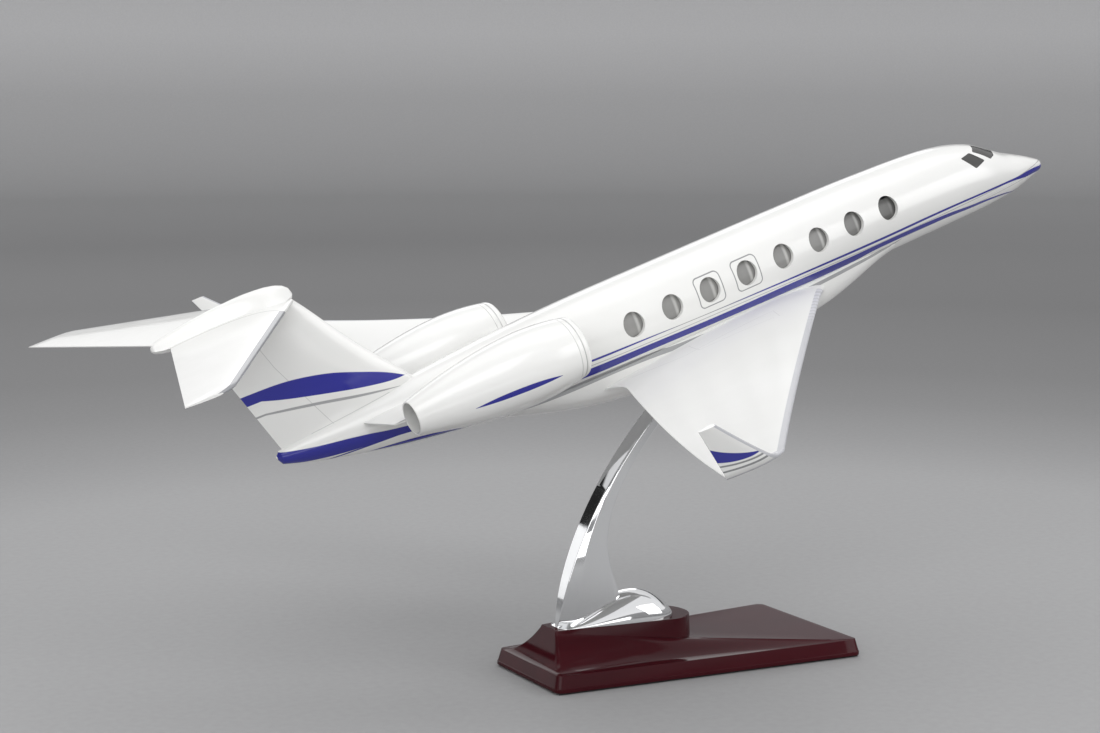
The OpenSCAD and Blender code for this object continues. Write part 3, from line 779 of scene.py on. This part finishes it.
def make_fairing(material):
    """Rounded box under the wing roots that swells out of the belly, with a hole for the socket."""
    steps = 40
    rings = []
    for a in np.linspace(FAIRING_FROM + 0.5, FAIRING_TO - 0.5, 120):
        u = min((a - FAIRING_FROM) / FAIRING_RISE, (FAIRING_TO - a) / FAIRING_FALL, 1)
        swell = mix(0.02, 1, math.sin(math.pi / 2 * u) ** 1.3)
        edge = skin(a, 180 - FAIRING_ANGLE)
        ring = [skin(a, q, 0.6) for q in np.linspace(180 - FAIRING_ANGLE, 180 + FAIRING_ANGLE, 20)]
        for k in range(steps, -1, -1):
            b = math.pi * k / steps
            base = skin(a, 180 - FAIRING_ANGLE * math.cos(b))
            side, down = math.cos(b), math.sin(b)
            full_y = FAIRING_HALF_W * math.copysign(abs(side) ** 0.7, side)
            full_z = edge[2] - (edge[2] + BELLY_DEPTH) * down ** 0.7
            ring.append((-a, mix(base[1], full_y, swell), mix(base[2] - 0.15, full_z, swell)))
        rings.append(ring)
    made = piece("belly_fairing_smooth", loft(rings), material, "aircraft",
                 replaced=["belly_fairing"])
    low, high = box_mm("belly_socket")
    middle = ((low + high) / 2 - NOSE) @ np.stack([AHEAD, PORT, UP], axis=1)
    slot = [(middle[0] + sx * 10, sy * 9) for sx, sy in ((1, 1), (-1, 1), (-1, -1), (1, -1))]
    cut(made, [prism(slot, -60, -15)])


# ---- flying surfaces


def foil(le, te, thick, up, steps=24, edge=0.16):
    """Aerofoil ring, and each point's distance aft of the leading edge."""
    le, te, up = (np.asarray(v, float) for v in (le, te, up))
    xs = (1 - np.cos(np.pi * np.arange(steps + 1) / steps)) / 2
    half = 5 * thick * (0.2969 * np.sqrt(xs) - 0.126 * xs - 0.3516 * xs ** 2 + 0.2843 * xs ** 3
                        - 0.1015 * xs ** 4) + edge
    chord = np.linalg.norm(te - le)
    upper = [le + (te - le) * x + up * h for x, h in zip(xs, half)]
    lower = [le + (te - le) * x - up * h for x, h in zip(xs, half)]
    return upper[::-1] + lower, list(xs[::-1] * chord) + list(xs * chord)


def foil_skin(sections):
    """Skin through foil() sections, and the values that its markings follow."""
    rings = [s[0] for s in sections]
    aft = [v for s in sections for v in s[1]]
    top = max(aft)
    heights = [np.mean(ring, axis=0)[2] for ring in rings]
    rise = [(h - heights[0]) / (heights[-1] - heights[0]) for h, s in zip(heights, sections) for _ in s[1]]
    chord = [v / max(s[1]) for s in sections for v in s[1]]
    return loft(rings), {"aft": aft + [top, top], "rise": rise + [0, 1], "chord": chord + [0.5, 0.5]}


def foil_pair(name, sections, material):
    """The port surface and its mirror image, which stand for CAD nodes of the same name."""
    shape, values = foil_skin(sections)
    pair(name + "_{}_smooth", shape, material, [name + "_{}"], values)


ROOT_Y = 18
WING_START = 12.6


def wing_edges(t):
    """Height, leading edge and trailing edge of the wing at span fraction t."""
    return (-19 + 7.3 * t + 18 * t * t, 152.3 + 165.6 * t + 16.6 * t * (1 - t), 261.9 + 80 * t)


def make_wings(material):
    sections = []
    for y in mix(WING_START, HALF_SPAN, np.linspace(0, 1, 72) ** 1.3):
        t = (y - ROOT_Y) / (HALF_SPAN - ROOT_Y)
        z, le, te = wing_edges(t)
        flare = max((31 - y) / 18, 0) ** 3
        sections.append(foil((-le + 2 * flare, y, z), (-te - 11 * flare, y, z - 0.8 * (1 - t)),
                             mix(6.6, 2, t) * (1 + 0.7 * flare), (0, 0, 1)))
    foil_pair("wing", sections, material)


WINGLET_TOP = (347.3, 353.8)
WINGLET_RISE, WINGLET_LEAN, WINGLET_TURN = 23.4, 11.2, 65
WINGLET_KNEE = 0.25


def make_winglets(material):
    z0, le0, te0 = wing_edges(1)
    sections = []
    for u in np.linspace(0, 1, 40):
        turn = math.radians(WINGLET_TURN * min(u * 3.5, 1))
        lean, rise = u * 1.6, 2.2 * u * u
        if u >= WINGLET_KNEE:
            straight = (u - WINGLET_KNEE) / (1 - WINGLET_KNEE)
            lean, rise = mix(0.4, 1, straight), mix(0.1375, 1, straight)
        y, z = HALF_SPAN - 0.01 + WINGLET_LEAN * lean, z0 + WINGLET_RISE * rise
        le, te = (-mix(le0, WINGLET_TOP[0], u ** 0.9), y, z), (-mix(te0, WINGLET_TOP[1], u), y, z)
        sections.append(foil(le, te, mix(2, 1, u), (0, -math.sin(turn), math.cos(turn))))
    foil_pair("winglet", sections, material)


def make_fin(material):
    # Leading edge, trailing edge, height and thickness
    root, top = np.array((340, 409.8, 8.4, 6.4)), np.array((386.6, 430.8, 66, 4.4))
    sections = []
    for u in np.linspace(0, 1, 40):
        le, te, z, thick = mix(root, top, u)
        swept = 2.4 * math.sin(math.pi * min(u / 0.95, 1)) ** 2 * u
        spread = 1 + 0.9 * max((u - 0.82) / 0.18, 0) ** 2 + 0.5 * max((0.16 - u) / 0.16, 0) ** 2
        sections.append(foil((-le - swept, 0, z), (-te, 0, z), thick * spread, (0, 1, 0)))
    shape, values = foil_skin(sections)
    piece("vertical_fin_smooth", shape, material, "aircraft", replaced=["vertical_fin"],
          values=values)


# Bullet fairing: station, top, bottom, half width above the tailplane and below it
BULLET = np.array([
    (385.4, 68.2, 67.0, 0.6, 0.6), (386.2, 70.2, 65.6, 1.7, 1.5), (388.4, 72.0, 64.4, 3.6, 2.4),
    (391.5, 73.2, 63.7, 7.0, 3.1), (396, 74.0, 63.3, 11.5, 3.6), (400, 74.3, 63.2, 12.6, 3.8),
    (405, 74.5, 63.1, 10.6, 3.9), (410, 74.4, 63.1, 8.2, 3.9), (420, 73.8, 63.1, 5.6, 3.8),
    (430, 72.7, 63.2, 4.7, 3.5), (438, 71.3, 63.6, 3.9, 2.9), (444, 70.1, 64.6, 3.0, 2.2),
    (446.8, 69.3, 65.6, 2.0, 1.5), (447.6, 68.0, 66.6, 0.7, 0.6)])


def make_bullet(material):
    """Round below; above, a ridge that sweeps out over the tailplane."""
    rings = []
    for a in np.concatenate([np.linspace(385.4, 389, 10), np.linspace(390, 444, 55),
                             np.linspace(444.5, 447.6, 8)]):
        top, bottom, skirt, half = (np.interp(a, BULLET[:, 0], BULLET[:, k]) for k in (1, 2, 3, 4))
        mid = mix(bottom, top, 0.3)
        over = [(skirt * x, mix(mid, top, (1 - x * x) ** (1 + skirt / 4)))
                for x in np.cos(np.linspace(0, np.pi, 33))]
        under = [(half * math.cos(q), mid + (mid - bottom) * math.sin(q))
                 for q in np.linspace(-np.pi, 0, 19)[1:-1]]
        rings.append([(-a, y, z) for y, z in over + under])
    piece("bullet_fairing_smooth", loft(rings), material, "aircraft",
          replaced=["bullet_fairing"])


def make_stabilizers(material):
    inner, outer = np.array((-386.5, 2.6, 65.2)), np.array((-451.5, 97.4, 66))
    inner_te, outer_te = np.array((-440.6, 2.6, 66.2)), np.array((-469.98, 97.4, 66.3))
    sections = []
    for u in np.linspace(0, 1, 64) ** 1.4:
        close = max((u - 0.96) / 0.04, 0) ** 2
        sections.append(foil(mix(inner, outer, u) + close * np.array((-3.5, 0, 0)),
                             mix(inner_te, outer_te, u), mix(4.4, 1.6, u) * (1 - 0.6 * close), (0, 0, 1)))
    foil_pair("stabilizer", sections, material)


# ---- engines

LIP_FRONT = 287.4
NOZZLE_END = 366.2
NOZZLE_R = 7.2
INTAKE_R = 10.6
FAN_BACK = LIP_JOINT + 9
FAN_BLADES = 18
HUB_R = 3.4


def nacelle_radius(a):
    if a < 312:
        return mix(12.6, 15.5, math.sin(math.pi / 2 * ((a - LIP_FRONT) / (312 - LIP_FRONT)) ** 0.8))
    return mix(15.5, NOZZLE_R, ((a - 312) / (NOZZLE_END - 312)) ** 1.75)


def groove(a, at):
    """Depth of a moulded joint line near station at."""
    return 0.22 * max(1 - abs(a - at) / 0.28, 0)


def make_nacelles(material):
    outer_r = nacelle_radius(LIP_JOINT)
    lip = [((outer_r + INTAKE_R) / 2 - (outer_r - INTAKE_R) / 2 * math.cos(q),
            LIP_JOINT - (LIP_JOINT - LIP_FRONT) * math.sin(q)) for q in np.linspace(0, math.pi, 17)]
    joint = np.linspace(LIP_JOINT, LIP_JOINT + 3.4, 28)[1:]
    rest = np.linspace(LIP_JOINT + 3.4, NOZZLE_END, 70)[1:]
    outer = [(nacelle_radius(a) - groove(a, LIP_JOINT + 0.3) - groove(a, LIP_JOINT + 2.6), a)
             for a in np.concatenate([joint, rest])]
    bore = [(NOZZLE_R - 0.35, NOZZLE_END + 0.12), (NOZZLE_R - 0.7, NOZZLE_END), (NOZZLE_R + 0.7, 352.5),
            (0.02, 352.5)]
    profile = [(0.02, FAN_BACK), (INTAKE_R, FAN_BACK)] + lip + outer + bore
    pair("nacelle_{}_smooth", revolve(profile), material,
         ["nacelle_{}", "nozzle_{}", "intake_lip_{}"])


def fan_blade(turn):
    """One twisted blade at this angle round the hub."""
    rings = []
    for r in np.linspace(HUB_R - 0.4, INTAKE_R - 0.15, 9):
        u = (r - HUB_R) / (INTAKE_R - HUB_R)
        twist, chord, thick = math.radians(mix(28, 58, u)), mix(2.3, 3.0, u), mix(0.5, 0.25, u)
        ring = []
        for along, off in ((-1, 0), (-0.5, 1), (0.3, 1), (1, 0), (0.3, -1), (-0.5, -1)):
            c, h = along * chord / 2, off * thick / 2
            axial = c * math.cos(twist) - h * math.sin(twist)
            q = turn + (c * math.sin(twist) + h * math.cos(twist)) / r
            ring.append((-(FAN_BACK - 2.6) - axial, ENGINE_Y + r * math.cos(q), ENGINE_Z + r * math.sin(q)))
        rings.append(ring)
    return loft(rings)


def make_fans(material):
    cone = [(0.02, FAN_BACK - 8)] + [(HUB_R * math.sin(q), FAN_BACK - 4 - 4 * math.cos(q))
                                     for q in np.linspace(0.12, math.pi / 2, 12)]
    hub = revolve(cone + [(HUB_R, FAN_BACK - 0.9), (INTAKE_R - 0.05, FAN_BACK - 0.9),
                          (INTAKE_R - 0.05, FAN_BACK - 0.1), (0.02, FAN_BACK - 0.1)], 64)
    blades = [fan_blade(2 * math.pi * k / FAN_BLADES) for k in range(FAN_BLADES)]
    pair("fan_{}_rotor", merge(hub, *blades), material, ["fan_{}"])


def make_pylons(material):
    """Foils between fuselage and nacelle, whose outer ends follow the nacelle's skin."""
    rings = []
    for v in np.linspace(0, 1, 16):
        ring = []
        le, te = (-mix(300, 308, v), 0, 7.4), (-mix(376.5, 371.5, v), 0, 8.2)
        for x, _, z in foil(le, te, 4.6 * (1 + 0.5 * max(0.35 - v, 0)), (0, 0, 1), 30)[0]:
            cowl = ENGINE_Y - nacelle_radius(min(-x, NOZZLE_END)) + 0.7
            ring.append((x, mix(9, min(cowl, ENGINE_Y - 4.5), v), z))
        rings.append(ring)
    pair("pylon_{}_smooth", loft(rings), material, ["pylon_{}"])


# ---- stand

EDGE_H = 8
FELT_T = 1
PEDESTAL_AFT = -65.5


def trapezoid(x0, x1, w0, w1, r0, r1, corner_steps=8, side_steps=30):
    """Outline with rounded corners, always with the same number of points."""
    corners = []
    for x, y, r, start in ((x1 - r1, w1 - r1, r1, 0), (x0 + r0, w0 - r0, r0, 90),
                           (x0 + r0, r0 - w0, r0, 180), (x1 - r1, r1 - w1, r1, 270)):
        turns = np.radians(start + np.linspace(0, 90, corner_steps + 1))
        corners.append([np.array((x + r * math.cos(q), y + r * math.sin(q))) for q in turns])
    out = []
    for k, corner in enumerate(corners):
        out += corner
        after = corners[(k + 1) % 4][0]
        out += [mix(corner[-1], after, s) for s in np.linspace(0, 1, side_steps + 1)[1:-1]]
    return out


def make_base(material):
    low, high = box_mm("base_shell")
    aft, ahead, front_w, rear_w = low[0], high[0], high[1], 29
    # As trapezoid() takes them: tail and nose, their half widths and their corner radii
    pedestal = np.array((PEDESTAL_AFT, PEDESTAL_AFT + 70, 7, 13.4, 1, 12.6))
    rim = trapezoid(aft + 1.5, ahead - 1.5, rear_w - 1.5, front_w - 1.5, 3, 3)
    foot = trapezoid(aft, ahead, rear_w, front_w, 3.5, 3.5)
    top = trapezoid(*pedestal)
    skirt = trapezoid(*(pedestal + np.array((-0.3, 0.3, 0.3, 0.3, 0, 0))))
    inner = trapezoid(*(pedestal + np.array((0.8, -0.8, -0.8, -0.8, -0.5, -0.8))))
    rings = [[(x, y, PEDESTAL_H) for x, y in inner], [(x, y, PEDESTAL_H) for x, y in top]]
    for u in np.linspace(0, 1, 26):
        ring = []
        for inside, outside in zip(skirt, rim):
            x, y = mix(inside, outside, u)
            wall = mix(PEDESTAL_H - 1, EDGE_H + 4, (inside[0] - pedestal[0]) / (pedestal[1] - pedestal[0]))
            power = 1 if outside[0] > 66 else mix(2, 1.15, max(outside[0] + 20, 0) / 90)
            ring.append((x, y, EDGE_H + (wall - EDGE_H) * (1 - u) ** power))
        rings.append(ring)
    rings += [[(x, y, FELT_T + 1.6) for x, y in mix(np.array(rim), np.array(foot), 0.86)],
              [(x, y, FELT_T + 1.5) for x, y in foot], [(x, y, FELT_T) for x, y in foot]]
    made = piece("base_lacquered", loft(rings), material, "stand",
                 replaced=["base_shell"], in_aircraft=False)
    plate_top = box_mm("ballast_plate")[1][2]
    pocket = trapezoid(aft + 5, ahead - 5, rear_w - 5, front_w - 5, 0.5, 0.5)
    cut(made, [prism(pocket, -1, plate_top)], in_aircraft=False)
    apply_modifier(made, "BEVEL", width=0.7 * MM, segments=4, limit_method="ANGLE",
                   angle_limit=math.radians(22), harden_normals=False)
    smooth(made, 30)


def bezier(points, t):
    a, b, c, d = (np.asarray(p, float) for p in points)
    return a * (1 - t) ** 3 + 3 * b * t * (1 - t) ** 2 + 3 * c * t * t * (1 - t) + d * t ** 3


def placed(a, z):
    """A point of the aircraft's plane of symmetry in the stand's X and Z."""
    point = aloft([(-a, 0, z)])[0]
    return point[0], point[2]


def make_arm(material):
    """Curved arm, a wedge at the foot and a flat band at the top, with the tongue that it ends in."""
    high = box_mm("support_arm")[1]
    shoulder_z, station = -BELLY_DEPTH - 0.25, 213
    back = [(-61.8, PEDESTAL_H), (-58.8, 46), (-43.9, 92), placed(station + 3.4, shoulder_z)]
    front = [(-31.5, PEDESTAL_H), (-24.7, 44.9), (-71, 57.6), placed(station - 2.6, shoulder_z)]
    half_w = high[1] / 0.44 * np.array((0.29, 0.51, 0.27, 0.44))
    rings = []
    for t in np.linspace(0, 1, 90):
        b, f = bezier(back, t), bezier(front, t)
        w, chin = bezier(half_w, t), 0.6 + (1 - t) ** 3
        lip, bevel = 0.5 + 2.4 * (1 - t) ** 2, 0.04 + 0.34 * (1 - t) ** 2
        ring = []
        for share, y in ((0, w - lip), (bevel, w), (0.9, w), (1, w - chin), (1, chin - w), (0.9, -w),
                         (bevel, -w), (0, lip - w)):
            x, z = mix(b, f, share)
            ring.append((x, y, z))
        rings.append(ring)
    arm = loft(rings)
    tongue = prism([(-station + sx * 1.5, sy * 5.5) for sx, sy in ((1, 1), (-1, 1), (-1, -1), (1, -1))],
                   shoulder_z - 1, shoulder_z + 9.5)
    plug = ([tuple(p) for p in aloft(tongue[0])], tongue[1])
    made = piece("support_arm_polished", merge(arm, plug), material, "stand",
                 replaced=["support_arm"], in_aircraft=False)
    apply_modifier(made, "BEVEL", width=0.35 * MM, segments=3, limit_method="ANGLE",
                   angle_limit=math.radians(14), harden_normals=False)
    smooth(made, 9)


def make_dome(material):
    tail_x, length, rise = PEDESTAL_AFT + 3, 59, 13
    rings = []
    for t in mix(0.006, 0.997, (1 - np.cos(np.pi * np.arange(73) / 72)) / 2):
        nose = max(t - 0.72, 0) / 0.28
        tail = max(1 - t / 0.05, 0)
        w = (mix(6.6, 11.4, math.sin(math.pi / 2 * min(t / 0.72, 1)) ** 1.4)
             * (1 - nose ** 2.3) ** 0.45 * math.sqrt(1 - tail * tail))
        h = rise * math.sin(math.pi * t ** 1.6) ** 0.75
        rings.append([(tail_x + length * t, w * math.cos(q), PEDESTAL_H + h * math.sin(q))
                      for q in np.linspace(0, math.pi, 49)])
    piece("foot_dome_polished", loft(rings), material, "stand",
          replaced=["foot_dome"], sharp=50, in_aircraft=False)


def finish_hidden_nodes():
    """Finishes for the CAD nodes that stay as they are."""
    for name, material in (("base_felt", felt("black_felt")),
                           ("ballast_plate", steel("ballast_steel", 0.16, 0.24)),
                           ("arm_screws", steel("screw_steel", 0.42, 0.58)),
                           ("socket_screws", steel("small_screw_steel", 0.42, 0.58)),
                           ("wing_dowels", steel("dowel_steel", 0.38, 0.50)),
                           ("belly_socket", painted("moulded_white"))):
        node = frame["nodes"][name]
        node.data.materials.clear()
        node.data.materials.append(material)


# ---- stage, lights, camera


def make_stage():
    """Plain pale floor that curves up into a wall all round, far outside the camera's circle."""
    radius, cove, wall = 4.5, 0.6, 1.3
    profile = [(0.01, 0)] + [(r, 0) for r in np.linspace(0.5, radius - cove, 8)]
    profile += [(radius - cove + cove * math.sin(q), cove - cove * math.cos(q))
                for q in np.linspace(0, math.pi / 2, 14)[1:]] + [(radius, wall)]
    turns = np.linspace(0, 2 * math.pi, 96, endpoint=False)
    verts = [(r * math.cos(q), r * math.sin(q), z) for r, z in profile for q in turns]
    centre = tuple(range(len(turns)))
    mesh = bpy.data.meshes.new("floor")
    mesh.from_pydata(verts, [], quads(len(profile), len(turns)) + [centre])
    mesh.polygons.foreach_set("use_smooth", [True] * len(mesh.polygons))
    mesh.materials.append(stage_grey("floor_grey"))
    add_object("floor", mesh)


def area_light(name, location, target, size, energy):
    data = bpy.data.lights.new(name, "AREA")
    data.shape, data.size, data.size_y, data.energy = "RECTANGLE", size[0], size[1], energy
    lamp = add_object(name, data)
    lamp.location = location
    point_at(lamp, Vector(target) - Vector(location))
    lamp.visible_camera = False


def make_lights(centre):
    area_light("key", (-0.6, -1.5, 1.9), centre, (1.6, 1.0), 11)
    area_light("overhead", (0.2, 0.3, 2.2), centre, (2.2, 1.4), 8)
    area_light("fill", (-1.7, -1.3, 0.9), centre, (1.4, 1.1), 9)
    area_light("side", (1.5, -1.5, 0.9), centre, (1.2, 1.2), 10)
    area_light("back", (0.5, 1.9, 1.15), centre, (1.8, 0.8), 5)
    area_light("back_low", (-1.45, 2.6, 0.45), centre, (1.8, 0.8), 3)
    area_light("bounce", (-0.5, -1.5, 0.06), centre, (2.4, 0.5), 6)
    world = bpy.data.worlds.new("studio")
    world.use_nodes = True
    nodes, links = world.node_tree.nodes, world.node_tree.links
    axes = nodes.new("ShaderNodeSeparateXYZ")
    links.new(nodes.new("ShaderNodeTexCoord").outputs["Generated"], axes.inputs[0])

    def ramp(source, stops):
        made = nodes.new("ShaderNodeValToRGB")
        links.new(source, made.inputs[0])
        elements = made.color_ramp.elements
        for position, _ in stops[2:]:
            elements.new(position)
        for element, (position, shade) in zip(elements, stops):
            element.position, element.color = position, (shade, shade, shade * 1.01, 1)
        return made.outputs[0]

    # Unlit gap between wall and ceiling on the far side, seen only as dark streaks in the chrome
    far = ramp(axes.outputs["Z"],
               ((0.0, 0.5), (0.22, 0.5), (0.24, 0.02), (0.37, 0.02), (0.4, 0.7), (1, 0.85)))
    near = ramp(axes.outputs["Z"], ((0.0, 0.75), (0.3, 0.9), (0.6, 0.85), (1, 0.85)))
    side = nodes.new("ShaderNodeMapRange")
    links.new(axes.outputs["Y"], side.inputs[0])
    side.inputs[1].default_value, side.inputs[2].default_value = 0.0, 0.3
    blend = nodes.new("ShaderNodeMix")
    blend.data_type = "RGBA"
    for source, target in ((side.outputs[0], 0), (near, 6), (far, 7)):
        links.new(source, blend.inputs[target])
    links.new(blend.outputs[2], nodes["Background"].inputs[0])
    nodes["Background"].inputs[1].default_value = 0.95
    bpy.context.scene.world = world
    bpy.context.scene.view_settings.view_transform = "Standard"


def make_camera():
    """Camera at the picture's angle: from behind on the starboard side, a little above."""
    low, high = (np.array(corner) for corner in CAD_BOX)
    aim = mix(low, high, np.array((0.4345, 0.5232, 0.5915)))
    azimuth, elevation, distance = math.radians(-29.15), math.radians(7.59), 0.9378
    back = np.array((math.sin(azimuth) * math.cos(elevation), -math.cos(azimuth) * math.cos(elevation),
                     math.sin(elevation)))
    data = bpy.data.cameras.new("camera")
    data.sensor_width, data.lens = 36, 70.46
    camera = add_object("camera", data)
    camera.location = aim + back * distance
    point_at(camera, -back)
    bpy.context.scene.camera = camera


# ---- the whole object

plain = painted("gloss_white")
mirror_chrome = chrome("chrome_plate")
make_camera()
livery = painted("gloss_white_livery", fuselage_livery)
make_fuselage(livery)
make_fairing(livery)
make_wings(painted("gloss_white_wing", wing_marks, rough=0.36, coat=0.1))
make_winglets(painted("gloss_white_winglet", winglet_marks))
make_fin(painted("gloss_white_fin", fin_marks))
make_bullet(plain)
make_stabilizers(painted("gloss_white_tailplane", stabilizer_marks))
make_nacelles(painted("gloss_white_cowl", cowl_marks))
make_fans(moulded_grey("fan_grey"))
make_pylons(plain)
make_base(lacquer("maroon_lacquer"))
make_arm(mirror_chrome)
make_dome(mirror_chrome)
finish_hidden_nodes()
make_stage()
make_lights([float(c) for c in mix(np.array(CAD_BOX[0]), np.array(CAD_BOX[1]), 0.5)])
